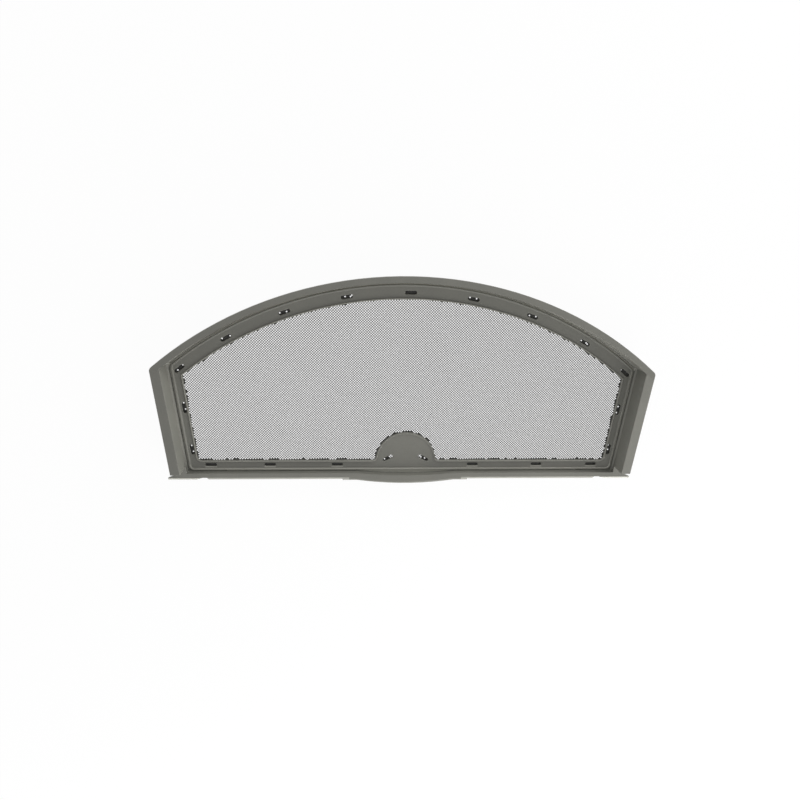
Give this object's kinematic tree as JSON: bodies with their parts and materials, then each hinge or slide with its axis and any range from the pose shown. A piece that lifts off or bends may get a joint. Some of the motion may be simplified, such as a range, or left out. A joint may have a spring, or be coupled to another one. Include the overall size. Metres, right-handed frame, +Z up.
{
  "type": "dryer lint filter",
  "caption": "D-shaped lint filter tray with a flat rim, a low handle strip, a slotted floor flange and a mesh screen.",
  "frame": {"origin": "under the middle of the bounding box, on the surface that the filter lies on", "axes": "+X across the width, +Y from the straight handle edge towards the arch, +Z up, out of the open side of the tray"},
  "size_m": [0.4392, 0.1965, 0.023],
  "materials": {
    "frame": "satin moulded warm grey",
    "mesh": "fine woven grey screen"
  },
  "bodies": {
    "root": {"frame": "frame", "screen_mesh": "mesh"}
  },
  "joints": []
}
